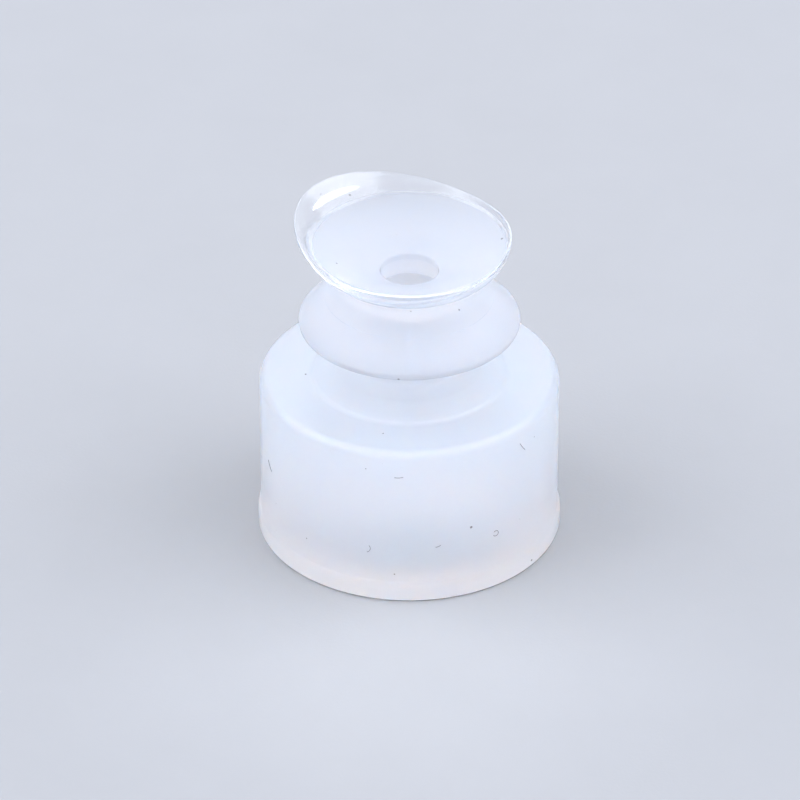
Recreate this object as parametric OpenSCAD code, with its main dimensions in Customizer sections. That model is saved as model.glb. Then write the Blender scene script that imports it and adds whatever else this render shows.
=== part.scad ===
// Bellows suction cup moulded in one piece from soft silicone. It stands on its sleeve with the
// lip up. The moulding is divided at the lines where it flexes, so that each zone can move.
// Units are millimetres, +Z is up, and the origin is the centre of the sleeve's foot.

/* [Sleeve] */
// Outer diameter of the sleeve
sleeve_d = 29.9; // [28:0.1:32]
// Height of the flat shoulder above the foot
shoulder_z = 17.4; // [16:0.1:19]
// Radius of the rounded edge round the shoulder
shoulder_round = 0.9; // [0.4:0.1:1.5]
// Diameter of the bead round the foot
bead_d = 30.5; // [30:0.1:33]
// Height of the bead
bead_h = 1.9; // [1:0.1:3]

/* [Fitting bore] */
// Diameter of the bore that is pushed over a fitting
bore_d = 14; // [12:0.1:15]
// Depth of the bore's straight wall
bore_depth = 2.6; // [2:0.1:4]
// Rise of the domed roof above the straight wall
bore_roof = 5.2; // [4:0.1:6]
// Diameter of the air channel through the sleeve and the neck
channel_d = 4; // [3:0.1:5]

/* [Shoulder boss and neck] */
// Diameter of the foot of the low boss on the shoulder
boss_d = 20; // [18:0.1:24]
// Rise of the boss above the shoulder
boss_rise = 1.3; // [0.6:0.1:1.8]
// Outer diameter of the neck
neck_d = 11; // [10:0.1:12]
// Height of the top of the neck
neck_z = 20.2; // [19.6:0.1:20.8]

/* [Bellows fold] */
// Largest diameter of the fold
fold_d = 22; // [20:0.1:24]
// Height of the fold's widest line
fold_z = 23.7; // [23.2:0.1:24.2]
// Radius of the rounded nose of the fold
fold_nose = 0.45; // [0.3:0.05:0.6]
// Radial width of the solid rim where the two walls of the fold meet
rim_w = 1.4; // [1:0.1:2]

/* [Throat] */
// Outer diameter of the throat crease
throat_d = 12.2; // [11.5:0.1:13]
// Height of the throat crease
throat_z = 28.8; // [28.6:0.1:29]
// Diameter of the suction hole
hole_d = 5.6; // [4:0.1:6]
// Height of the hole's upper edge, which is the bottom of the bowl
hole_z = 29.4; // [29.2:0.1:29.5]

/* [Cup] */
// Inner diameter of the bowl at its rim
bowl_d = 19.4; // [18:0.1:21]
// Height of the bowl's rim
bowl_z = 32.4; // [32:0.1:33]
// Thickness of the bowl's wall at its rim
bowl_wall = 0.5; // [0.3:0.05:0.6]
// How far the thin lip flares out beyond the bowl's rim
lip_flare = 0.9; // [0.4:0.1:1.4]
// How far the thin lip rises above the bowl's rim
lip_rise = 1.4; // [0.8:0.1:1.8]
// Thickness of the thin lip
lip_t = 0.4; // [0.3:0.05:0.5]

/* [Hidden] */

$fn = 96;
arc_steps = 8;

sleeve_r = sleeve_d / 2;
bead_r = bead_d / 2;
bore_r = bore_d / 2;
channel_r = channel_d / 2;
boss_r = boss_d / 2;
neck_r = neck_d / 2;
fold_r = fold_d / 2;
throat_r = throat_d / 2;
hole_r = hole_d / 2;
bowl_r = bowl_d / 2;

// Heights of the level planes that divide the moulding
plate_z = shoulder_z - shoulder_round;
boss_z = shoulder_z + boss_rise;
throat_low_z = 27;
web_low_z = 28.6;
web_high_z = 29.6;
lip_low_z = 32.3;

// The rim of the fold: its inner radius, and the heights where its nose leaves the two walls
rim_r = fold_r - rim_w;
nose_low_z = fold_z - fold_nose;
nose_high_z = fold_z + fold_nose;
nose_r = fold_r - fold_nose;

// Clearance by which a slicing square passes the moulding
beyond = 2;

// Points on an arc about [cr, cz] from angle a0 to angle a1
function arc(cr, cz, r, a0, a1) = [
  for (i = [0:arc_steps]) let (a = a0 + (a1 - a0) * i / arc_steps) [cr + r * cos(a), cz + r * sin(a)]
];

// Points on the quadratic curve from a to c that is drawn towards b
function curve(a, b, c) = [
  for (i = [0:arc_steps]) let (t = i / arc_steps) a * (1 - t) * (1 - t) + b * 2 * t * (1 - t) + c * t * t
];

// Outside of the sleeve: the foot, the bead, the wall and the rounded edge
sleeve_outside = concat(
  [[bead_r - 0.3, 0]],
  arc(bead_r - 0.3, 0.3, 0.3, -90, 0),
  [[bead_r, bead_h - 0.2], [sleeve_r, bead_h], [sleeve_r, plate_z]],
  arc(sleeve_r - shoulder_round, plate_z, shoulder_round, 0, 90)
);

// Boss: a low dome from the shoulder to the root of the neck
boss_outside = curve([boss_r, shoulder_z], [(boss_r + neck_r) / 2, boss_z - 0.1], [neck_r, boss_z]);

// Outside of the fold: the lower wall, the rounded nose and the upper wall up to the throat
fold_outside = concat(
  [[neck_r, neck_z]],
  arc(nose_r, fold_z, fold_nose, -60, 45),
  [[throat_r, throat_z]]
);

// Outside of the cup, from the throat up to the bowl's rim, and then the thin lip
bowl_outside = curve(
  [throat_r, throat_z + 0.1],
  [bowl_r - 0.5, bowl_z - 1.9],
  [bowl_r + bowl_wall / 2, lip_low_z]
);
lip_tip = [bowl_r + bowl_wall / 2 + lip_flare, bowl_z + lip_rise - lip_t / 2];
lip_edge = arc(lip_tip[0] - lip_t / 2, lip_tip[1], lip_t / 2, -30, 150);

// Inside of the cup, from the bowl's rim down to the hole
bowl_inside = curve([bowl_r, bowl_z], [bowl_r - 3, bowl_z - 1.8], [hole_r, hole_z]);

// Inside of the fold's chamber, from the throat plate down to the channel
chamber_inside = [
  [hole_r, throat_low_z],
  [rim_r - (throat_low_z - fold_z), throat_low_z],
  [rim_r, fold_z],
  [channel_r, fold_z - (rim_r - channel_r) * 0.6]
];

// Inside of the sleeve: the channel, the domed roof and the bore
bore_inside = concat(
  [[channel_r, bore_depth + bore_roof]],
  curve([channel_r, bore_depth + bore_roof], [bore_r, bore_depth + bore_roof], [bore_r, bore_depth]),
  [[bore_r, 0]]
);

// The whole section of the moulding, outside first and then back down the inside
module section() {
  polygon(concat(
    sleeve_outside, boss_outside, fold_outside, bowl_outside, lip_edge,
    bowl_inside, chamber_inside, bore_inside
  ));
}

// A ring cut from the moulding between two heights and two radii
module zone(z0, z1, r0 = 0, r1 = bead_r + beyond) {
  rotate_extrude() intersection() {
    section();
    translate([r0, z0]) square([r1 - r0, z1 - z0]);
  }
}

module base_bead() {
  color("#dfe8ee") zone(0, bead_h);
}

module sleeve_wall() {
  color("#dbe6f0") zone(bead_h, plate_z);
}

module shoulder_plate() {
  color("#dde8f2") zone(plate_z, shoulder_z);
}

module shoulder_boss() {
  color("#e4ecf2") zone(shoulder_z, boss_z);
}

module lower_neck() {
  color("#e2ebf3") zone(boss_z, neck_z);
}

module fold_lower_wall() {
  color("#d8e5f2") zone(neck_z, fold_z, 0, rim_r);
}

module fold_rim() {
  color("#e6eff7") zone(neck_z, throat_low_z, rim_r, fold_r + beyond);
}

module fold_upper_wall() {
  color("#d8e5f2") zone(fold_z, throat_low_z, 0, rim_r);
}

module throat_ring() {
  color("#dfe9f3") zone(throat_low_z, web_low_z);
}

module cup_web() {
  color("#d8e5f2") zone(web_low_z, web_high_z);
}

module lip_bowl() {
  color("#d6e4f3") zone(web_high_z, lip_low_z);
}

module thin_lip() {
  color("#e8f0f7") zone(lip_low_z, bowl_z + lip_rise + beyond);
}

base_bead();
sleeve_wall();
shoulder_plate();
shoulder_boss();
lower_neck();
fold_lower_wall();
fold_rim();
fold_upper_wall();
throat_ring();
cup_web();
lip_bowl();
thin_lip();
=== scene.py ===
"""A bellows suction cup in clouded silicone, dressed and lit round its CAD frame.

Sizes inside the classes are millimetres, as the cup's drawing gives them. Everything that is handed
to Blender is in metres, in the frame's own axes: +Z runs up the cup, from its foot to its lip.
"""

import logging
import math
from collections.abc import Callable
from dataclasses import dataclass, field
from enum import Enum
from typing import Any

import bmesh
import bpy
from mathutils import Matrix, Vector
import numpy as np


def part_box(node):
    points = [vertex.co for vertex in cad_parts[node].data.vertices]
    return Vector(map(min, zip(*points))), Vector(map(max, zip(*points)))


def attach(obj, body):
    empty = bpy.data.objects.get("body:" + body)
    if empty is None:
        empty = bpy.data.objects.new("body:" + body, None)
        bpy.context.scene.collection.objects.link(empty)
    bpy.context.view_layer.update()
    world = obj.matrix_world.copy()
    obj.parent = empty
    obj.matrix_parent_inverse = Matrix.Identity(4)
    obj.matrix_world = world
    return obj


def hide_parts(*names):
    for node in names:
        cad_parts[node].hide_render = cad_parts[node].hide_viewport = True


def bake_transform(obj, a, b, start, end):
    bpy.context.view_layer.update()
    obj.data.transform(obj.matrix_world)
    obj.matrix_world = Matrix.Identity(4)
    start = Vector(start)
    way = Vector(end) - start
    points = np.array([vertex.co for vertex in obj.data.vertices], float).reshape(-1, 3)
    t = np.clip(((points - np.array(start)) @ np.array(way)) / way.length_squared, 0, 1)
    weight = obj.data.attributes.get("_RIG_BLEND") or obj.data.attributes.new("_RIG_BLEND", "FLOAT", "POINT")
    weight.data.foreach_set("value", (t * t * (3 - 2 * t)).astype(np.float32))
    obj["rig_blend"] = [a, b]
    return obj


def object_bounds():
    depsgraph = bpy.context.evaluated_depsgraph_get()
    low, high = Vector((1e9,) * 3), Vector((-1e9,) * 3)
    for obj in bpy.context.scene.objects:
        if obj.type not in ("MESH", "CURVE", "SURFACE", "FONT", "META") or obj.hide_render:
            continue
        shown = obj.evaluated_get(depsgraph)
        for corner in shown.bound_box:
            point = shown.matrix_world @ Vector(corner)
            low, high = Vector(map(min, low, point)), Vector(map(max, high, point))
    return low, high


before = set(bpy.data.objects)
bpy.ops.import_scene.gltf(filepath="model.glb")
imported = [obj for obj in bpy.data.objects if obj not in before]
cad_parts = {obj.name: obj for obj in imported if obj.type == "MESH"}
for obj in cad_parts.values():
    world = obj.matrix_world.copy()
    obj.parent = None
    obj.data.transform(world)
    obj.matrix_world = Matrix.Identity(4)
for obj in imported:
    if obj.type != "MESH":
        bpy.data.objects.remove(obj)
CAD_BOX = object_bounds()

LOG = logging.getLogger("suction_cup")
MM = 0.001

Point = tuple[float, float]
Outline = list[Point]
Colour = tuple[float, float, float]


# ---------------------------------------------------------------------------------------------
# Outlines
# ---------------------------------------------------------------------------------------------


def arc(centre: Point, radius: float, start: float, end: float, steps: int = 8) -> Outline:
    """Points on a round stretch of an outline.

    Args:
        centre: Centre of the arc, as radius and height.
        radius: Radius of the arc.
        start: Angle of the first point, in degrees from straight outwards.
        end: Angle of the last point, in degrees.
        steps: Number of equal steps.

    Returns:
        The points, both ends included.
    """
    angles = (math.radians(start + (end - start) * i / steps) for i in range(steps + 1))
    return [(centre[0] + radius * math.cos(a), centre[1] + radius * math.sin(a)) for a in angles]


def curve(first: Point, pull: Point, last: Point, steps: int = 10) -> Outline:
    """Points on a quadratic curve.

    Args:
        first: Where the curve starts.
        pull: The point that it is drawn towards.
        last: Where the curve ends.
        steps: Number of equal steps.

    Returns:
        The points, both ends included.
    """
    made = []
    for i in range(steps + 1):
        t = i / steps
        a, b, c = (1 - t) ** 2, 2 * t * (1 - t), t * t
        made.append((first[0] * a + pull[0] * b + last[0] * c, first[1] * a + pull[1] * b + last[1] * c))
    return made


def between(one: Point, other: Point, share: float) -> Point:
    """The point that lies a share of the way from one point to another."""
    return (one[0] + (other[0] - one[0]) * share, one[1] + (other[1] - one[1]) * share)


def onward(start: Point, slope: float, distance: float) -> Point:
    """The point at a distance from another, at a slope in degrees above the level."""
    turned = math.radians(slope)
    return (start[0] + distance * math.cos(turned), start[1] + distance * math.sin(turned))


@dataclass(frozen=True)
class Swell:
    """A smooth swell on the round.

    Attributes:
        height: Its height, or less than 0 for a dip.
        centre: Where it is highest, in degrees.
        spread: How wide it is, in degrees.
    """

    height: float
    centre: float
    spread: float

    def at(self, angle: float) -> float:
        """What it adds at an angle in degrees."""
        away = (angle - self.centre + 180) % 360 - 180
        return self.height * math.exp(-0.5 * (away / self.spread) ** 2)


def reach_of(node: str) -> float:
    """Radius of one of the CAD model's nodes, in millimetres."""
    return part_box(node)[1].x / MM


def foot_of(node: str) -> float:
    """Height of a node's foot, in millimetres."""
    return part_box(node)[0].z / MM


def top_of(node: str) -> float:
    """Height of a node's top, in millimetres."""
    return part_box(node)[1].z / MM


@dataclass(frozen=True)
class Landmarks:
    """Radii and heights of the CAD model's zones, in millimetres, read from the frame."""

    bead_r: float
    bead_top: float
    sleeve_r: float
    plate_z: float
    shoulder_z: float
    boss_r: float
    boss_top: float
    neck_r: float
    neck_top: float
    fold_r: float
    fold_z: float
    throat_low: float
    throat_top: float
    lip_low: float

    @classmethod
    def read(cls) -> "Landmarks":
        """Reads the zones' boxes.

        Returns:
            The landmarks.
        """
        return cls(
            bead_r=reach_of("base_bead"), bead_top=top_of("base_bead"),
            sleeve_r=reach_of("sleeve_wall"), plate_z=top_of("sleeve_wall"),
            shoulder_z=top_of("shoulder_plate"), boss_r=reach_of("shoulder_boss"),
            boss_top=top_of("shoulder_boss"), neck_r=reach_of("lower_neck"),
            neck_top=top_of("lower_neck"), fold_r=reach_of("fold_rim"),
            fold_z=foot_of("fold_upper_wall"), throat_low=foot_of("throat_ring"),
            throat_top=top_of("throat_ring"), lip_low=foot_of("thin_lip"),
        )


# ---------------------------------------------------------------------------------------------
# Turned meshes
# ---------------------------------------------------------------------------------------------


@dataclass(frozen=True)
class Section:
    """A closed section of one zone: up the outside, then down the inside.

    Attributes:
        outside: Points from the zone's foot to its top.
        inside: Points from its top to its foot.
        seam_below: True if the zone runs on into the one below it.
        seam_above: True if the zone runs on into the one above it.
    """

    outside: Outline
    inside: Outline
    seam_below: bool = False
    seam_above: bool = False

    def points(self) -> Outline:
        """The whole closed outline."""
        return self.outside + self.inside

    def cored(self, segment: int) -> bool:
        """True for a segment on the inside."""
        return segment >= len(self.outside)

    def seams(self) -> set[int]:
        """The segments, by number, where the silicone runs on into a neighbour."""
        found = set()
        if self.seam_above:
            found.add(len(self.outside) - 1)
        if self.seam_below:
            found.add(len(self.outside) + len(self.inside) - 1)
        return found


@dataclass(frozen=True)
class Lathe:
    """Turns a section into a closed mesh, whose faces say which are seams and which the core shaped.

    Attributes:
        turns: Number of steps on the round.
        crease: Angle between two faces, in degrees, above which their edge stays sharp.
    """

    turns: int = 256
    crease: float = 40.0

    SEAM = "seam"
    CORE = "core"

    def turn(self, name: str, section: Callable[[float], Section]) -> bpy.types.Object:
        """Makes the mesh.

        Args:
            name: Name of the piece.
            section: Gives the section at an angle in degrees; each has the same number of points.

        Returns:
            The piece, closed and shaded smooth.
        """
        model = section(0.0)
        count = len(model.points())
        verts: list[tuple[float, float, float]] = []
        for turn in range(self.turns):
            angle = 360 * turn / self.turns
            cos, sin = math.cos(math.radians(angle)), math.sin(math.radians(angle))
            verts += [(r * cos * MM, r * sin * MM, z * MM) for r, z in section(angle).points()]
        faces = []
        for turn in range(self.turns):
            here, there = turn * count, (turn + 1) % self.turns * count
            for i in range(count):
                j = (i + 1) % count
                faces.append((here + i, there + i, there + j, here + j))
        mesh = bpy.data.meshes.new(name)
        mesh.from_pydata(verts, [], faces)
        seams = [float(i in model.seams()) for i in range(count)]
        cored = [float(model.cored(i)) for i in range(count)]
        for mark, strip in ((self.SEAM, seams), (self.CORE, cored)):
            mesh.attributes.new(mark, "FLOAT", "FACE").data.foreach_set("value", strip * self.turns)
        self._smooth(mesh)
        piece = bpy.data.objects.new(name, mesh)
        bpy.context.scene.collection.objects.link(piece)
        return piece

    def _smooth(self, mesh: bpy.types.Mesh) -> None:
        """Shades a mesh smooth, and leaves its creases and the edges of its seams sharp.

        Args:
            mesh: The mesh, which is changed.
        """
        work = bmesh.new()
        work.from_mesh(mesh)
        bmesh.ops.recalc_face_normals(work, faces=work.faces)
        seam = work.faces.layers.float[self.SEAM]
        for face in work.faces:
            face.smooth = True
        for edge in work.edges:
            one, other = edge.link_faces
            if one[seam] != other[seam] or edge.calc_face_angle() > math.radians(self.crease):
                edge.smooth = False
        work.to_mesh(mesh)
        work.free()


# ---------------------------------------------------------------------------------------------
# Shader building
# ---------------------------------------------------------------------------------------------


class Value:
    """A shader socket that takes part in Python arithmetic."""

    def __init__(self, tree: "Tree", socket: bpy.types.NodeSocket) -> None:
        """Wraps a socket of a tree."""
        self.tree = tree
        self.socket = socket

    def _maths(self, operation: str, *terms: "Value | float") -> "Value":
        """Adds one Math node.

        Args:
            operation: The node's operation.
            *terms: Its inputs, in order.

        Returns:
            The node's result.
        """
        node = self.tree.node("ShaderNodeMath", {"operation": operation}, dict(enumerate(terms)))
        return Value(self.tree, node.outputs[0])

    def __add__(self, other: "Value | float") -> "Value":
        """Sum."""
        return self._maths("ADD", self, other)

    __radd__ = __add__

    def __sub__(self, other: "Value | float") -> "Value":
        """Difference."""
        return self._maths("SUBTRACT", self, other)

    def __rsub__(self, other: float) -> "Value":
        """Difference from a number."""
        return self._maths("SUBTRACT", other, self)

    def __mul__(self, other: "Value | float") -> "Value":
        """Product."""
        return self._maths("MULTIPLY", self, other)

    __rmul__ = __mul__

    def __lt__(self, other: "Value | float") -> "Value":
        """1 where this value is below the other, and else 0."""
        return self._maths("LESS_THAN", self, other)

class Tree:
    """A material's node tree, built node by node."""

    def __init__(self, name: str) -> None:
        """Makes an empty material of that name."""
        self.material = bpy.data.materials.new(name)
        self.material.use_nodes = True
        self.nodes = self.material.node_tree.nodes
        self.nodes.clear()

    def node(
        self, kind: str, settings: dict[str, Any] | None = None, inputs: dict[Any, Any] | None = None
    ) -> bpy.types.Node:
        """Adds one node.

        Args:
            kind: Type of the node.
            settings: The node's own settings, which are set first.
            inputs: Values or links of its sockets, by name or number.

        Returns:
            The node.
        """
        made = self.nodes.new(kind)
        for key, setting in (settings or {}).items():
            setattr(made, key, setting)
        for key, given in (inputs or {}).items():
            if isinstance(given, Value):
                self.material.node_tree.links.new(given.socket, made.inputs[key])
            elif isinstance(given, bpy.types.NodeSocket):
                self.material.node_tree.links.new(given, made.inputs[key])
            else:
                made.inputs[key].default_value = given
        return made

    def value(self, socket: bpy.types.NodeSocket) -> Value:
        """Wraps a socket for arithmetic."""
        return Value(self, socket)

    def mark(self, name: str) -> Value:
        """A face attribute of the mesh."""
        return self.value(self.node("ShaderNodeAttribute", {"attribute_name": name}).outputs["Fac"])

    def place(self) -> bpy.types.NodeSocket:
        """The place on the surface, in metres in the frame's axes."""
        return self.node("ShaderNodeTexCoord").outputs["Object"]

    def noise(self, grain_mm: float, detail: float = 2.0, rough: float = 0.5) -> Value:
        """Soft noise.

        Args:
            grain_mm: Size of its features, in millimetres.
            detail: Number of finer layers.
            rough: How strong those are.

        Returns:
            A value round 0.5.
        """
        made = self.node(
            "ShaderNodeTexNoise",
            {"noise_dimensions": "3D"},
            {"Vector": self.place(), "Scale": 1 / (grain_mm * MM), "Detail": detail, "Roughness": rough},
        )
        return self.value(made.outputs["Fac"])

    def specks(self, spacing_mm: float, largest_mm: float, share: float) -> Value:
        """Small round specks strewn over the surface.

        Args:
            spacing_mm: Distance between the places where one may lie.
            largest_mm: Radius of the largest.
            share: How many of those places hold one, from 0 to 1.

        Returns:
            1 on a speck, and else 0.
        """
        cell = self.node(
            "ShaderNodeTexVoronoi",
            {"voronoi_dimensions": "3D", "feature": "F1"},
            {"Vector": self.place(), "Scale": 1 / (spacing_mm * MM)},
        )
        chance = self.node("ShaderNodeSeparateColor", inputs={"Color": cell.outputs["Color"]})
        held = self.value(chance.outputs["Red"]) < share
        size = self.value(chance.outputs["Green"]) * (largest_mm / spacing_mm)
        return (self.value(cell.outputs["Distance"]) < size) * held

    def mix(self, share: Value, one: Any, other: Any) -> bpy.types.NodeSocket:
        """Mixes two colours.

        Args:
            share: Share of the second colour.
            one: First colour.
            other: Second colour.

        Returns:
            The mixed colour.
        """
        made = self.node("ShaderNodeMix", {"data_type": "RGBA"}, {"Factor": share, 6: one, 7: other})
        return made.outputs[2]

    def bump(
        self,
        height: Value,
        depth_mm: float,
        strength: float = 1.0,
        under: bpy.types.NodeSocket | None = None,
    ) -> bpy.types.NodeSocket:
        """Raises a surface by a height map.

        Args:
            height: The map, from 0 to 1.
            depth_mm: How high 1 stands, in millimetres.
            strength: How much of it shows.
            under: The normal of a coarser map that this one lies on.

        Returns:
            The normal.
        """
        inputs = {"Height": height, "Distance": depth_mm * MM, "Strength": strength}
        if under is not None:
            inputs["Normal"] = under
        return self.node("ShaderNodeBump", inputs=inputs).outputs["Normal"]

    def finish(self, surface: bpy.types.Node, volume: bpy.types.Node | None = None) -> bpy.types.Material:
        """Connects the shaders to the output.

        Args:
            surface: The surface's shader.
            volume: The shader inside, if there is one.

        Returns:
            The material.
        """
        ends = {"Surface": surface.outputs[0]}
        if volume is not None:
            ends["Volume"] = volume.outputs[0]
        self.node("ShaderNodeOutputMaterial", inputs=ends)
        return self.material


# ---------------------------------------------------------------------------------------------
# Finishes
# ---------------------------------------------------------------------------------------------


def opaque(colour: Colour) -> tuple[float, float, float, float]:
    """A colour with full alpha."""
    return (*colour, 1.0)


@dataclass(frozen=True)
class Silicone:
    """Clouded silicone, as it comes from a polished mould and gathers a little dust.

    Attributes:
        name: Name of the material.
        tint: Colour of the light that it lets through, set lower in some zones as painted shade.
        clarity: Share of the light that goes in and isn't turned back at the skin.
        roughness: How matt the skin is.
        core_matt: How much rougher the inside is, where the mould's core was sand-blasted.
        gloss: Strength of the clear skin on top.
        haze: How cloudy the inside is, as scatterings in a metre.
        haze_tint: Colour of the light that the clouding turns aside.
        forward: How far the clouding keeps light going forwards, from 0 to 1.
        dust: Share of the places for a speck of dust that hold one.
    """

    name: str
    tint: Colour
    clarity: float
    roughness: float
    gloss: float
    haze: float
    core_matt: float = 0.0
    haze_tint: Colour = (0.62, 0.80, 1.0)
    forward: float = 0.5
    dust: float = 0.30

    INDEX = 1.41
    GLOSS_ROUGHNESS = 0.06
    DUST_COLOUR = (0.20, 0.18, 0.17)
    DUST_SPACING_MM = 1.5
    DUST_RADIUS_MM = 0.16
    DUST_MATT = 0.3
    CLOUD_MM = 4.0
    CLOUD_SHADE = 0.975
    SMEAR_MM = 1.6
    SMEAR_MATT = 0.10
    WAVE_MM = 3.5
    WAVE_DEPTH_MM = 0.012
    PORE_MM = 0.18
    PORE_DEPTH_MM = 0.0025
    PORE_STRENGTH = 0.6

    def material(self) -> bpy.types.Material:
        """Builds the material.

        Returns:
            The material, see-through on the seams, where the silicone runs on into its neighbour.
        """
        tree = Tree(self.name)
        specks = tree.specks(self.DUST_SPACING_MM, self.DUST_RADIUS_MM, self.dust)
        matt = self.roughness + tree.mark(Lathe.CORE) * self.core_matt
        smears = (tree.noise(self.SMEAR_MM, detail=3.0) - 0.5) * self.SMEAR_MATT
        cloud = tree.noise(self.CLOUD_MM, detail=3.0)
        greyer = tuple(self.CLOUD_SHADE * part for part in self.tint)
        silicone = tree.mix(cloud, opaque(self.tint), opaque(greyer))
        waves = tree.bump(tree.noise(self.WAVE_MM, detail=1.0), self.WAVE_DEPTH_MM)
        pores = tree.bump(tree.noise(self.PORE_MM), self.PORE_DEPTH_MM, self.PORE_STRENGTH, under=waves)
        skin = tree.node(
            "ShaderNodeBsdfPrincipled",
            inputs={
                "Base Color": tree.mix(specks, silicone, opaque(self.DUST_COLOUR)),
                "Roughness": matt + smears + specks * self.DUST_MATT,
                "IOR": self.INDEX,
                "Transmission Weight": self.clarity,
                "Coat Weight": self.gloss,
                "Coat Roughness": self.GLOSS_ROUGHNESS,
                "Coat IOR": self.INDEX,
                "Alpha": 1 - tree.mark(Lathe.SEAM),
                "Normal": pores,
            },
        )
        clouding = tree.node(
            "ShaderNodeVolumeScatter",
            inputs={"Color": opaque(self.haze_tint), "Density": self.haze, "Anisotropy": self.forward},
        )
        return tree.finish(skin, clouding)


class Finish(Enum):
    """The four states of the same silicone, from the thick sleeve to the thin lip. Their tints are painted
    shade: one silicone, darkened more on the fold and the bowl than on the sleeve.
    """

    # Painted shade: the tints darken the same silicone by zone, least on the sleeve and most on the bowl.
    THICK = Silicone(
        "thick_clouded_silicone", tint=(0.945, 0.955, 0.975), clarity=0.96, roughness=0.42, gloss=0.12,
        haze=300, core_matt=0.3, forward=0.7,
    )
    WALL = Silicone(
        "wall_clouded_silicone", tint=(0.86, 0.865, 0.885), clarity=0.90, roughness=0.55, gloss=0.1,
        haze=500, forward=0.7,
    )
    BOWL = Silicone(
        "bowl_clouded_silicone", tint=(0.80, 0.81, 0.835), clarity=0.93, roughness=0.55, gloss=0.1,
        haze=350,
    )
    LIP = Silicone(
        "clear_lip_silicone", tint=(0.90, 0.905, 0.92), clarity=0.95, roughness=0.22, gloss=0.3,
        haze=300,
    )


@dataclass(frozen=True)
class PaperFinish:
    """Pale studio paper, faintly mottled.

    Attributes:
        shade: The paper's colour.
        darker: Shade of its blotches, as a share of that colour.
        blotch_mm: Size of the blotches, in millimetres.
        fibre_mm: Size of the fibres that it is felted from, in millimetres.
        fibre_depth_mm: How deep it is between them, in millimetres.
        roughness: How matt it is.
    """

    shade: Colour = (0.25, 0.25, 0.25)
    darker: float = 0.94
    blotch_mm: float = 14.0
    fibre_mm: float = 0.35
    fibre_depth_mm: float = 0.02
    roughness: float = 0.85

    def material(self) -> bpy.types.Material:
        """Builds the material.

        Returns:
            The material.
        """
        tree = Tree("studio_paper")
        blotches = tree.noise(self.blotch_mm, detail=4.0, rough=0.6)
        darker = tuple(self.darker * part for part in self.shade)
        fibres = tree.bump(tree.noise(self.fibre_mm, detail=3.0), self.fibre_depth_mm, strength=0.5)
        sheet = tree.node(
            "ShaderNodeBsdfPrincipled",
            inputs={
                "Base Color": tree.mix(blotches, opaque(self.shade), opaque(darker)),
                "Roughness": self.roughness,
                "Normal": fibres,
            },
        )
        return tree.finish(sheet)


@dataclass(frozen=True)
class LintFinish:
    """Short dull fibres of household lint.

    Attributes:
        shade: Colour of the fibres.
        lighter: Shade of their paler stretches, as a multiple of that colour.
        stretch_mm: Length of those stretches, in millimetres.
        roughness: How matt the fibres are.
        fuzz_mm: Size of the fuzz on them, in millimetres.
        fuzz_matt: How much rougher the fuzz is.
    """

    shade: Colour = (0.16, 0.14, 0.14)
    lighter: float = 1.6
    stretch_mm: float = 0.5
    roughness: float = 0.7
    fuzz_mm: float = 0.2
    fuzz_matt: float = 0.2

    def material(self) -> bpy.types.Material:
        """Builds the material.

        Returns:
            The material.
        """
        tree = Tree("lint_fibre")
        lighter = tuple(self.lighter * part for part in self.shade)
        fibre = tree.node(
            "ShaderNodeBsdfPrincipled",
            inputs={
                "Base Color": tree.mix(tree.noise(self.stretch_mm), opaque(self.shade), opaque(lighter)),
                "Roughness": self.roughness + tree.noise(self.fuzz_mm) * self.fuzz_matt,
            },
        )
        return tree.finish(fibre)


# ---------------------------------------------------------------------------------------------
# The cup's zones
# ---------------------------------------------------------------------------------------------


@dataclass
class Zone:
    """What the cup's zones share: the landmarks, the lathe, the seams, and sizes that run on.

    Attributes:
        marks: Radii and heights of the CAD model.
        lathe: What turns the sections.
        gap: Height by which two zones stay apart at a seam.
        channel_r: Radius of the air channel through the sleeve and the neck.
        throat_r: Radius of the crease round the throat.
        hole_r: Radius of the suction hole.
        wall_foot: How far in and up from the fold's widest line the straight upper wall starts.
        wall_head: How far in from the fold's radius and up from the throat's top that wall ends.
        roof_foot: How far in and up from the widest line the sloping roof of the chamber starts.
    """

    marks: Landmarks
    lathe: Lathe = field(default_factory=Lathe)
    gap: float = 0.004
    channel_r: float = 2.0
    throat_r: float = 6.15
    hole_r: float = 2.9
    wall_foot: Point = (0.5, 0.7)
    wall_head: Point = (4.0, -0.7)
    roof_foot: Point = (1.7, 0.2)

    @property
    def neck_seam(self) -> float:
        """Height of the seam in the neck's straight stretch."""
        return self.marks.neck_top - 0.4

    @property
    def throat_seam(self) -> float:
        """Height of the seam in the straight stretch of the fold's upper wall."""
        return self.marks.throat_low - 0.5

    @property
    def crease_seam(self) -> float:
        """Height of the seam at the narrowest line of the throat."""
        return self.marks.throat_top + 0.2

    @property
    def wall_start(self) -> Point:
        """Where the straight upper wall of the fold starts, above the nose."""
        return (self.marks.fold_r - self.wall_foot[0], self.marks.fold_z + self.wall_foot[1])

    @property
    def wall_end(self) -> Point:
        """Where that wall ends, and bends into the throat."""
        return (self.marks.fold_r - self.wall_head[0], self.marks.throat_top + self.wall_head[1])

    def on_wall(self, height: float) -> Point:
        """The point of that wall's outside at a height."""
        start, end = self.wall_start, self.wall_end
        return between(start, end, (height - start[1]) / (end[1] - start[1]))

    def on_roof(self, height: float) -> Point:
        """The point of the chamber's roof at a height; it slopes at 45 degrees."""
        start = (self.marks.fold_r - self.roof_foot[0], self.marks.fold_z + self.roof_foot[1])
        return (start[0] - (height - start[1]), height)

    def dress(self, piece: bpy.types.Object, finish: Finish, slot: str) -> bpy.types.Object:
        """Gives a piece its finish.

        Args:
            piece: The piece.
            finish: Its finish.
            slot: The record's material slot; not used.

        Returns:
            The same piece.
        """
        piece.data.materials.append(finish.value.material())
        return piece


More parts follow.
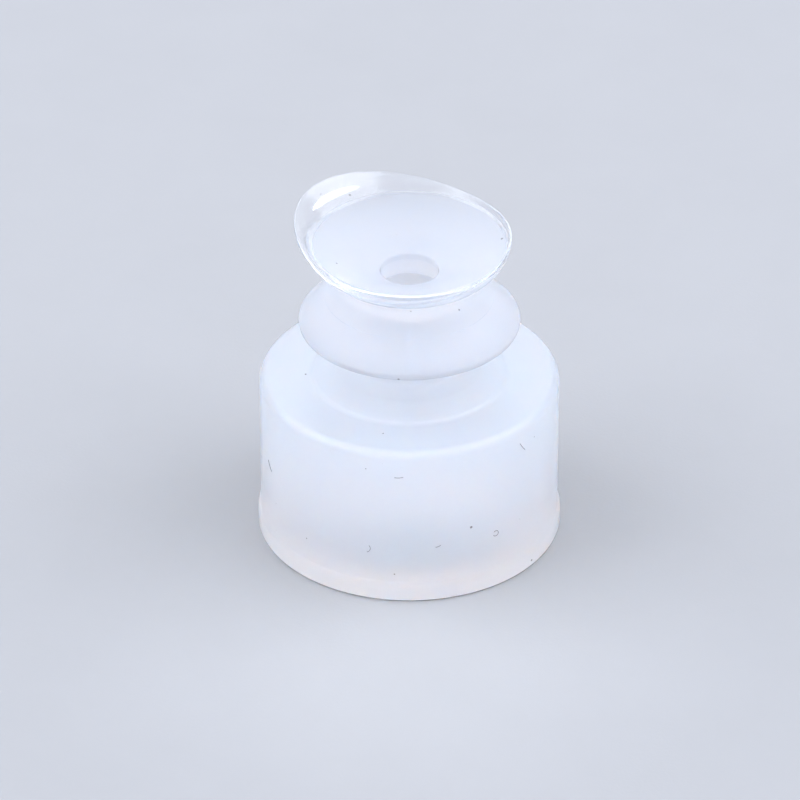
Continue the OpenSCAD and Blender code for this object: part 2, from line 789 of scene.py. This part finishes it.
@dataclass
class Sleeve(Zone):
    """The thick mounting sleeve: foot, bead, wall, shoulder, boss and the root of the neck.

    Attributes:
        foot_round: Radius of the foot's outer edge.
        edge_round: Radius of the edge round the shoulder.
        bore_r: Radius of the bore.
        bore_wall: Height of the bore's straight wall.
        bore_edge: Radius of the bore's edge at the foot.
        dome: Rise of the domed roof over it.
        wall_rings: Heights of the rings of points on the straight wall.
        channel_rings: Heights of those in the channel.
        boss_step: Height of the step round the boss.
    """

    foot_round: float = 0.45
    edge_round: float = 0.9
    bore_r: float = 7.0
    bore_wall: float = 2.6
    bore_edge: float = 0.35
    dome: float = 5.2
    wall_rings: tuple[float, float] = (6.0, 11.0)
    channel_rings: tuple[float, float] = (15.0, 11.0)
    boss_step: float = 0.42

    def section(self, _angle: float) -> Section:
        """The sleeve's section, which is the same all round."""
        top = self.neck_seam - self.gap
        return Section(self._shell() + self._boss(top), self._channel(top) + self._bore(), seam_above=True)

    def _shell(self) -> Outline:
        """Points up the outside: the foot, the bead, the wall and the edge round the shoulder."""
        m = self.marks
        foot = [(self.bore_r + 2.5, 0.0), (self.bore_r + 5.5, 0.0)]
        edge = arc((m.bead_r - self.foot_round, self.foot_round), self.foot_round, -90, 0)
        bead = curve((m.bead_r, 1.3), (m.bead_r, m.bead_top), (m.sleeve_r, m.bead_top + 0.4), 6)
        wall = [(m.sleeve_r, ring) for ring in self.wall_rings]
        shoulder = arc((m.sleeve_r - self.edge_round, m.plate_z), self.edge_round, 0, 90)
        return foot + edge + bead + wall + shoulder

    def _boss(self, top: float) -> Outline:
        """Points up the boss: the flat round it, its step, its slope, and the neck.

        Args:
            top: Height of the section's top.

        Returns:
            The points.
        """
        m = self.marks
        flat = [(m.boss_r + 2.0, m.shoulder_z)]
        step = curve(
            (m.boss_r + 0.2, m.shoulder_z),
            (m.boss_r - 0.2, m.shoulder_z),
            (m.boss_r - 0.5, m.shoulder_z + 0.3),
            5,
        )
        slope = [(m.boss_r - 1.2, m.shoulder_z + self.boss_step)]
        hollow = curve(
            (m.boss_r - 2.4, m.shoulder_z + 1.05),
            (m.neck_r + 0.2, m.boss_top + 0.1),
            (m.neck_r, m.neck_top - 0.8),
            8,
        )
        return flat + step + slope + hollow + [(m.neck_r, top)]

    def _channel(self, top: float) -> Outline:
        """Points down the air channel, to the edge where it opens into the dome.

        Args:
            top: Height of the section's top.

        Returns:
            The points.
        """
        r, roof = self.channel_r, self.bore_wall + self.dome
        straight = [(r, height) for height in (top, *self.channel_rings, roof + 0.4)]
        return straight + curve((r, roof + 0.25), (r, roof), (r + 0.3, roof), 4)

    def _bore(self) -> Outline:
        """Points down the dome and the bore, to the bore's rounded edge at the foot."""
        r, roof = self.bore_r, self.bore_wall + self.dome
        dome = curve((self.channel_r + 0.4, roof), (r, roof), (r, self.bore_wall), 14)
        edge = arc((r + self.bore_edge, self.bore_edge), self.bore_edge, 180, 270, 4)
        return dome + [(r, self.bore_edge)] + edge

    def build(self) -> list[bpy.types.Object]:
        """Makes the sleeve.

        Returns:
            The sleeve's pieces.
        """
        piece = self.dress(self.lathe.turn("sleeve_moulding", self.section), Finish.THICK, "silicone_thick")
        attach(piece, "sleeve")
        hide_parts("base_bead", "sleeve_wall", "shoulder_plate", "shoulder_boss", "lower_neck")
        return [piece]


@dataclass
class Bellows(Zone):
    """The single fold, which flattens as the cup is pressed down.

    Attributes:
        nose: Radius of the rounded nose of the fold.
        rim: Radial width of the solid rim behind the nose.
    """

    nose: float = 0.45
    rim: float = 1.4

    def section(self, _angle: float) -> Section:
        """The fold's section, which is the same all round."""
        low, top = self.neck_seam + self.gap, self.throat_seam - self.gap
        return Section(self._outside(low, top), self._chamber(low, top), seam_below=True, seam_above=True)

    def _outside(self, low: float, top: float) -> Outline:
        """Points up the outside: the neck, the lower wall, the nose and the upper wall.

        Args:
            low: Height of the section's foot.
            top: Height of its top.

        Returns:
            The points.
        """
        m = self.marks
        nose = (m.fold_r - self.nose, m.fold_z)
        neck = [(m.neck_r, low), (m.neck_r, m.neck_top - 0.1)]
        root = curve(
            (m.neck_r + 0.02, m.neck_top),
            (m.neck_r + 0.15, m.neck_top + 0.25),
            (m.neck_r + 0.7, m.neck_top + 0.45),
            5,
        )
        lower = [(m.neck_r + 2.5, m.neck_top + 1.5), (nose[0] - 0.6, m.fold_z - 0.75)]
        upper = [self.on_wall(height) for height in (self.wall_start[1], self.wall_start[1] + 1.2, top)]
        return neck + root + lower + arc(nose, self.nose, -60, 45) + upper

    def _chamber(self, low: float, top: float) -> Outline:
        """Points down the chamber: its roof, its rim, its floor and the channel.

        Args:
            low: Height of the section's foot.
            top: Height of its top.

        Returns:
            The points.
        """
        m, r = self.marks, self.channel_r
        tip = m.fold_r - self.rim
        roof = [self.on_roof(top), self.on_roof(top - 1.6)]
        corner = self.on_roof(m.fold_z + self.roof_foot[1])
        rim = curve(corner, (tip, m.fold_z - 0.1), (tip - 0.2, m.fold_z - 0.25), 5)
        floor = [(r + 4.8, m.neck_top + 1.75), (r + 2.0, m.neck_top + 0.1)]
        channel = curve((r + 1.6, m.neck_top - 0.14), (r, m.neck_top - 0.25), (r, low), 5)
        return roof + rim + floor + channel

    def build(self) -> list[bpy.types.Object]:
        """Makes the fold.

        Returns:
            The fold's pieces.
        """
        piece = self.dress(self.lathe.turn("bellows_fold", self.section), Finish.WALL, "silicone_wall")
        start, end = self.marks.neck_top, self.throat_seam - 0.3
        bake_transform(piece, "sleeve", "bellows_top", start=(0, 0, start * MM), end=(0, 0, end * MM))
        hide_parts("fold_lower_wall", "fold_rim", "fold_upper_wall")
        return [piece]


@dataclass
class Throat(Zone):
    """The narrow throat, where the cup tilts, with the lower part of the suction hole."""

    def section(self, _angle: float) -> Section:
        """The throat's section, which is the same all round."""
        low, top = self.throat_seam + self.gap, self.crease_seam - self.gap
        return Section(self._outside(low, top), self._inside(low, top), seam_below=True, seam_above=True)

    def _outside(self, low: float, top: float) -> Outline:
        """Points up the outside: the end of the fold's wall, and the bend into the crease.

        Args:
            low: Height of the section's foot.
            top: Height of its top.

        Returns:
            The points.
        """
        end = self.wall_end
        wall = [self.on_wall(low), self.on_wall(low + 0.6)]
        bend = curve(end, (self.throat_r, end[1] + 0.6), (self.throat_r, top - 0.1), 8)
        return wall + bend + [(self.throat_r, top)]

    def _inside(self, low: float, top: float) -> Outline:
        """Points down the hole, out under the throat and down the chamber's roof.

        Args:
            low: Height of the section's foot.
            top: Height of its top.

        Returns:
            The points.
        """
        r, under = self.hole_r, self.marks.throat_low
        roof = self.on_roof(low)
        hole = [(r, top), (r, under + 1.2)]
        edge = curve((r, under + 1.0), (r, under), (r + 0.2, under), 4)
        corner = curve((roof[0] - 0.8, under), (roof[0] - 0.45, under), self.on_roof(low + 0.3), 5)
        return hole + edge + corner + [roof]

    def build(self) -> list[bpy.types.Object]:
        """Makes the throat.

        Returns:
            The throat's pieces.
        """
        piece = self.dress(self.lathe.turn("throat_crease", self.section), Finish.WALL, "silicone_wall")
        start, end = self.throat_seam, self.crease_seam
        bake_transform(piece, "bellows_top", "throat", start=(0, 0, start * MM), end=(0, 0, end * MM))
        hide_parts("throat_ring")
        return [piece]


@dataclass
class Cup(Zone):
    """The bowl and its thin lip, which has set in a gentle wave.

    Attributes:
        bowl_r: Inner radius of the bowl at its rim.
        wall: Thickness of the bowl's wall at its rim.
        belly: The point towards which the bowl's outside swells.
        dish: The point towards which its inside is hollowed.
        bottom: Height of the bowl's bottom, round the hole.
        thin: How much thinner the lip is at its edge, as a share.
        outer_slope: Slope of the bowl's outside at its rim, in degrees above the level.
        inner_slope: Slope of its inside there.
        outer_fillet: Length of each leg of the fillet outside the lip's root, as a share of the lip's.
        inner_fillet: Length of each leg of the fillet inside it.
        fillet_limit: The most that a fillet takes of the lip's length, as a share.
        least_flare: How far the lip stands out where it doesn't swell.
        least_rise: How far it stands up there.
        flares: Where it swells outwards.
        rises: Where it swells up or dips.
        steps: Number of points across the lip.
    """

    bowl_r: float = 9.5
    wall: float = 0.5
    belly: Point = (9.35, 30.4)
    dish: Point = (6.5, 30.9)
    bottom: float = 29.5
    thin: float = 0.45
    outer_slope: float = 71.0
    inner_slope: float = 25.0
    outer_fillet: float = 0.35
    inner_fillet: float = 0.35
    fillet_limit: float = 0.6
    least_flare: float = 0.2
    least_rise: float = 0.35
    flares: tuple[Swell, ...] = (Swell(1.9, 138, 42), Swell(0.8, 252, 35))
    rises: tuple[Swell, ...] = (Swell(1.9, 143, 42), Swell(0.55, -5, 28), Swell(-0.65, 265, 42))
    steps: int = 4

    @property
    def rim(self) -> Point:
        """Middle of the wall at the bowl's rim, where the lip starts."""
        return (self.bowl_r + self.wall / 2, self.marks.lip_low)

    def flare(self, angle: float) -> float:
        """How far the lip stands out beyond the rim at an angle in degrees."""
        return self.least_flare + sum(swell.at(angle) for swell in self.flares)

    def rise(self, angle: float) -> float:
        """How far the lip stands up above the rim at an angle in degrees."""
        return self.least_rise + sum(swell.at(angle) for swell in self.rises)

    def bowl_section(self, _angle: float) -> Section:
        """The bowl's section, which is the same all round."""
        low, top = self.crease_seam + self.gap, self.marks.lip_low - self.gap
        half, hole = self.wall / 2, self.hole_r
        crease = [(self.throat_r, low), (self.throat_r, low + 0.1)]
        root = curve(
            (self.throat_r + 0.02, low + 0.2),
            (self.throat_r + 0.1, low + 0.35),
            (self.throat_r + 0.85, low + 0.5),
            5,
        )
        shell = curve((self.throat_r + 1.25, low + 0.66), self.belly, (self.rim[0] + half, top), 12)
        hollow = curve((self.rim[0] - half, top), self.dish, (hole + 0.4, self.bottom + 0.05), 14)
        edge = curve((hole + 0.25, self.bottom), (hole, self.bottom - 0.05), (hole, self.bottom - 0.25), 4)
        inside = hollow + edge + [(hole, low)]
        return Section(crease + root + shell, inside, seam_below=True, seam_above=True)

    def lip_section(self, angle: float) -> Section:
        """The lip's section at an angle in degrees; its faces leave the bowl's and bend up in fillets."""
        out, up = self.flare(angle), self.rise(angle)
        tip = self.wall / 2 * (1 - self.thin)
        end = (self.rim[0] + out, self.rim[1] + up)
        lean = math.degrees(math.atan2(-out, up))
        nose = arc(end, tip, lean, lean + 180, 8)
        outer_bend = self.outer_fillet * math.hypot(out, up)
        outer = self._face(self.wall / 2, self.outer_slope, nose[0], outer_bend)
        inner = self._face(-self.wall / 2, self.inner_slope, nose[-1], self.inner_fillet)
        return Section(outer + nose, inner[::-1], seam_below=True)

    def _face(self, side: float, slope: float, tip: Point, bend: float) -> Outline:
        """One face of the lip.

        Args:
            side: Distance of its root from the middle of the wall.
            slope: Slope with which it leaves the bowl, in degrees above the level.
            tip: Where it reaches the lip's edge.
            bend: Length of each leg of its fillet.

        Returns:
            Points from the root up to, but without, the tip.
        """
        root = (self.rim[0] + side, self.rim[1] + self.gap)
        pull = onward(root, slope, bend)
        leaving = between(pull, tip, min(bend / math.dist(pull, tip), self.fillet_limit))
        straight = [between(leaving, tip, i / self.steps) for i in range(1, self.steps)]
        return curve(root, pull, leaving, 8) + straight

    def build(self) -> list[bpy.types.Object]:
        """Makes the bowl and the lip.

        Returns:
            The cup's pieces.
        """
        bowl = self.dress(self.lathe.turn("cup_bowl", self.bowl_section), Finish.BOWL, "silicone_wall")
        start, end = self.crease_seam, self.marks.lip_low - 0.8
        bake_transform(bowl, "throat", "cup", start=(0, 0, start * MM), end=(0, 0, end * MM))
        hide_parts("cup_web", "lip_bowl")
        lip = self.dress(self.lathe.turn("thin_lip_skirt", self.lip_section), Finish.LIP, "silicone_lip")
        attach(lip, "cup")
        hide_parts("thin_lip")
        return [bowl, lip]


@dataclass(frozen=True)
class Fibre:
    """One fibre of lint, which clings to the sleeve's wall.

    Attributes:
        azimuth: Where its middle lies, in degrees round from the front, and 90 at the right.
        height: Height of its middle, in millimetres.
        length: Its length, in millimetres.
        slant: How steeply it runs there, in degrees above the level.
        curl: How far it turns from end to end, in degrees.
    """

    azimuth: float
    height: float
    length: float
    slant: float
    curl: float

    def path(self, radius: float, steps: int = 12) -> list[Vector]:
        """Points along the fibre.

        Args:
            radius: Radius on which it lies, in millimetres.
            steps: Number of its straight pieces.

        Returns:
            The points, in millimetres in the frame's axes.
        """
        across, up = [0.0], [0.0]
        for i in range(steps):
            turned = math.radians(self.slant + self.curl * ((i + 0.5) / steps - 0.5))
            across.append(across[-1] + self.length / steps * math.cos(turned))
            up.append(up[-1] + self.length / steps * math.sin(turned))
        middle = steps // 2
        points = []
        for a, u in zip(across, up):
            around = math.radians(self.azimuth) + (a - across[middle]) / radius
            height = self.height + u - up[middle]
            points.append(Vector((radius * math.sin(around), -radius * math.cos(around), height)))
        return points


@dataclass(frozen=True)
class Lint:
    """The few fibres of lint that soft silicone always picks up.

    Attributes:
        sleeve_r: Radius of the sleeve's wall.
        thickness: Diameter of a fibre.
        taper: Thickness of its ends, as a share.
        sides: Number of sides of its round section.
        fibres: The fibres.
    """

    sleeve_r: float
    thickness: float = 0.055
    taper: float = 0.5
    sides: int = 6
    fibres: tuple[Fibre, ...] = (
        Fibre(-15, 5.8, 1.0, 75, 120),
        Fibre(11, 6.3, 0.6, 20, 60),
        Fibre(36, 6.2, 1.6, 80, 300),
        Fibre(-4, 14.6, 0.9, 5, 25),
        Fibre(-68, 9.8, 1.3, -45, 15),
        Fibre(48, 15.0, 1.4, -55, 10),
    )

    def build(self) -> list[bpy.types.Object]:
        """Makes the fibres, as one piece.

        Returns:
            The piece.
        """
        mesh = bpy.data.meshes.new("sleeve_lint")
        work = bmesh.new()
        for fibre in self.fibres:
            self._tube(work, fibre.path(self.sleeve_r + self.thickness / 2))
        bmesh.ops.recalc_face_normals(work, faces=work.faces)
        for face in work.faces:
            face.smooth = True
        work.to_mesh(mesh)
        work.free()
        mesh.materials.append(LintFinish().material())
        piece = bpy.data.objects.new("sleeve_lint", mesh)
        bpy.context.scene.collection.objects.link(piece)
        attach(piece, "sleeve")
        return [piece]

    def _tube(self, work: bmesh.types.BMesh, path: list[Vector]) -> None:
        """Adds one closed tube along a path.

        Args:
            work: The mesh, which is changed.
            path: The path, in millimetres.
        """
        rings = []
        for i, point in enumerate(path):
            along = path[min(i + 1, len(path) - 1)] - path[max(i - 1, 0)]
            out = Vector((point.x, point.y, 0)).normalized()
            side = along.cross(out).normalized()
            share = self.taper if i in (0, len(path) - 1) else 1.0
            ring = []
            for k in range(self.sides):
                turn = 2 * math.pi * k / self.sides
                offset = (out * math.cos(turn) + side * math.sin(turn)) * (self.thickness / 2 * share)
                ring.append(work.verts.new((point + offset) * MM))
            rings.append(ring)
        for one, other in zip(rings, rings[1:]):
            for k in range(self.sides):
                j = (k + 1) % self.sides
                work.faces.new((one[k], one[j], other[j], other[k]))
        work.faces.new(rings[0])
        work.faces.new(rings[-1])


# ---------------------------------------------------------------------------------------------
# The studio
# ---------------------------------------------------------------------------------------------


LAMP_COLOUR = (0.855, 0.895, 1.0)


def direction(azimuth: float, elevation: float) -> Vector:
    """A unit vector towards a place round the cup.

    Args:
        azimuth: Degrees round from the front, and 90 at the right.
        elevation: Degrees above the horizon.

    Returns:
        The vector.
    """
    a, e = math.radians(azimuth), math.radians(elevation)
    return Vector((math.sin(a) * math.cos(e), -math.cos(a) * math.cos(e), math.sin(e)))


def put_up(data: bpy.types.ID, stand: Vector, aim: Vector) -> bpy.types.Object:
    """Puts up a lamp or a camera.

    Args:
        data: The lamp or the camera.
        stand: Where it stands.
        aim: The point that it faces.

    Returns:
        The object.
    """
    thing = bpy.data.objects.new(data.name, data)
    thing.location = stand
    thing.rotation_euler = (aim - stand).to_track_quat("-Z", "Y").to_euler()
    bpy.context.scene.collection.objects.link(thing)
    return thing


@dataclass(frozen=True)
class Softbox:
    """A flat rectangular lamp, aimed at the cup.

    Attributes:
        name: Name of the lamp.
        azimuth: Where it stands, in degrees round from the front, and 90 at the right.
        elevation: Its height above the horizon, in degrees.
        distance: Its distance from the cup, in metres.
        size: Its width and height, in metres.
        power: Its power, in watts.
    """

    name: str
    azimuth: float
    elevation: float
    distance: float
    size: tuple[float, float]
    power: float

    def place(self, aim: Vector) -> None:
        """Puts the lamp up, facing a point."""
        data = bpy.data.lights.new(self.name, "AREA")
        data.shape = "RECTANGLE"
        data.size, data.size_y = self.size
        data.energy = self.power
        data.color = LAMP_COLOUR
        put_up(data, aim + direction(self.azimuth, self.elevation) * self.distance, aim)


@dataclass(frozen=True)
class Spot:
    """A small soft spotlight in front, aimed at a place on the paper.

    Attributes:
        name: Name of the lamp.
        elevation: Its height above the horizon, in degrees.
        distance: Its distance from where it is aimed, in metres.
        cone: Width of its beam, in degrees.
        power: Its power, in watts.
        ahead: How far in front of the cup's axis it is aimed, in metres.
        bulb: Radius of its bulb, in metres.
    """

    name: str
    elevation: float
    distance: float
    cone: float
    power: float
    ahead: float
    bulb: float = 0.02

    def place(self, foot: Vector) -> None:
        """Puts the lamp up, aimed in front of the cup's foot."""
        aim = foot - Vector((0, self.ahead, 0))
        data = bpy.data.lights.new(self.name, "SPOT")
        data.energy = self.power
        data.color = LAMP_COLOUR
        data.spot_size = math.radians(self.cone)
        data.spot_blend = 1.0
        data.shadow_soft_size = self.bulb
        put_up(data, aim + direction(0, self.elevation) * self.distance, aim)


@dataclass(frozen=True)
class Studio:
    """The paper floor, the lamps, the room's light and the camera.

    Attributes:
        room_colour: Colour of the light from the room.
        room_light: Strength of that light.
        camera_elevation: Height of the camera above the horizon, in degrees.
        camera_distance: Its distance from the cup, in metres.
        aside: How far left of the cup's middle it is aimed, as a share of the cup's width.
        below: How far under the middle it is aimed, as a share of the cup's height.
        lens: Its focal length, in millimetres.
        paper_half: Half the side of the paper, in metres.
        paper_drop_mm: How far the paper lies under the foot, so that the two don't touch.
        lamps: The flat lamps.
        spot: The lamp that brightens the paper in front.
    """

    room_colour: Colour = (0.835, 0.88, 1.0)
    room_light: float = 1.40
    camera_elevation: float = 33.0
    camera_distance: float = 0.6
    aside: float = 0.0305
    below: float = 0.0858
    lens: float = 270.0
    paper_half: float = 2.0
    paper_drop_mm: float = 0.05
    lamps: tuple[Softbox, ...] = (
        Softbox("left_softbox", -88, 48, 0.6, (0.6, 0.5), 4.0),
        Softbox("right_softbox", 88, 48, 0.6, (0.6, 0.5), 4.0),
        Softbox("back_softbox", 180, 38, 0.6, (0.5, 0.2), 1.0),
        Softbox("top_strip", 0, 80, 0.5, (0.30, 0.02), 0.3),
    )
    spot: Spot = Spot("floor_spot", 60, 0.5, 5.0, 10.0, 0.022)

    def floor(self) -> bpy.types.Object:
        """Lays the paper under the cup's foot.

        Returns:
            The floor.
        """
        half = self.paper_half
        level = CAD_BOX[0].z - self.paper_drop_mm * MM
        mesh = bpy.data.meshes.new("paper_floor")
        corners = [(-half, -half, level), (half, -half, level), (half, half, level), (-half, half, level)]
        mesh.from_pydata(corners, [], [(0, 1, 2, 3)])
        mesh.materials.append(PaperFinish().material())
        floor = bpy.data.objects.new("paper_floor", mesh)
        bpy.context.scene.collection.objects.link(floor)
        return floor

    def light(self) -> None:
        """Puts up the lamps and the room's light."""
        middle = (CAD_BOX[0] + CAD_BOX[1]) / 2
        for lamp in self.lamps:
            lamp.place(middle)
        self.spot.place(Vector((middle.x, middle.y, CAD_BOX[0].z)))
        world = bpy.data.worlds.new("studio_room")
        world.use_nodes = True
        room = world.node_tree.nodes["Background"]
        room.inputs["Color"].default_value = opaque(self.room_colour)
        room.inputs["Strength"].default_value = self.room_light
        bpy.context.scene.world = world

    def camera(self) -> None:
        """Sets up the camera in front of the cup and above it."""
        low, high = CAD_BOX
        size = high - low
        aim = (low + high) / 2 - Vector((self.aside * size.x, 0, self.below * size.z))
        data = bpy.data.cameras.new("studio_camera")
        data.lens = self.lens
        data.clip_start = 0.01
        stand = aim + direction(0, self.camera_elevation) * self.camera_distance
        bpy.context.scene.camera = put_up(data, stand, aim)

    def exposure(self) -> None:
        """Lets light wander far enough through the clouded silicone, and shows it as it is."""
        scene = bpy.context.scene
        scene.view_settings.view_transform = "Standard"
        scene.cycles.max_bounces = 256
        scene.cycles.transmission_bounces = 64
        scene.cycles.volume_bounces = 128
        scene.cycles.transparent_max_bounces = 64


def main() -> None:
    logging.basicConfig(level=logging.INFO, format="%(name)s: %(message)s")
    marks = Landmarks.read()
    for part in (Sleeve(marks), Bellows(marks), Throat(marks), Cup(marks), Lint(marks.sleeve_r)):
        for piece in part.build():
            LOG.info("%s, %d faces", piece.name, len(piece.data.polygons))
    studio = Studio()
    studio.floor()
    studio.light()
    studio.camera()
    studio.exposure()


if __name__ == "__main__":
    main()
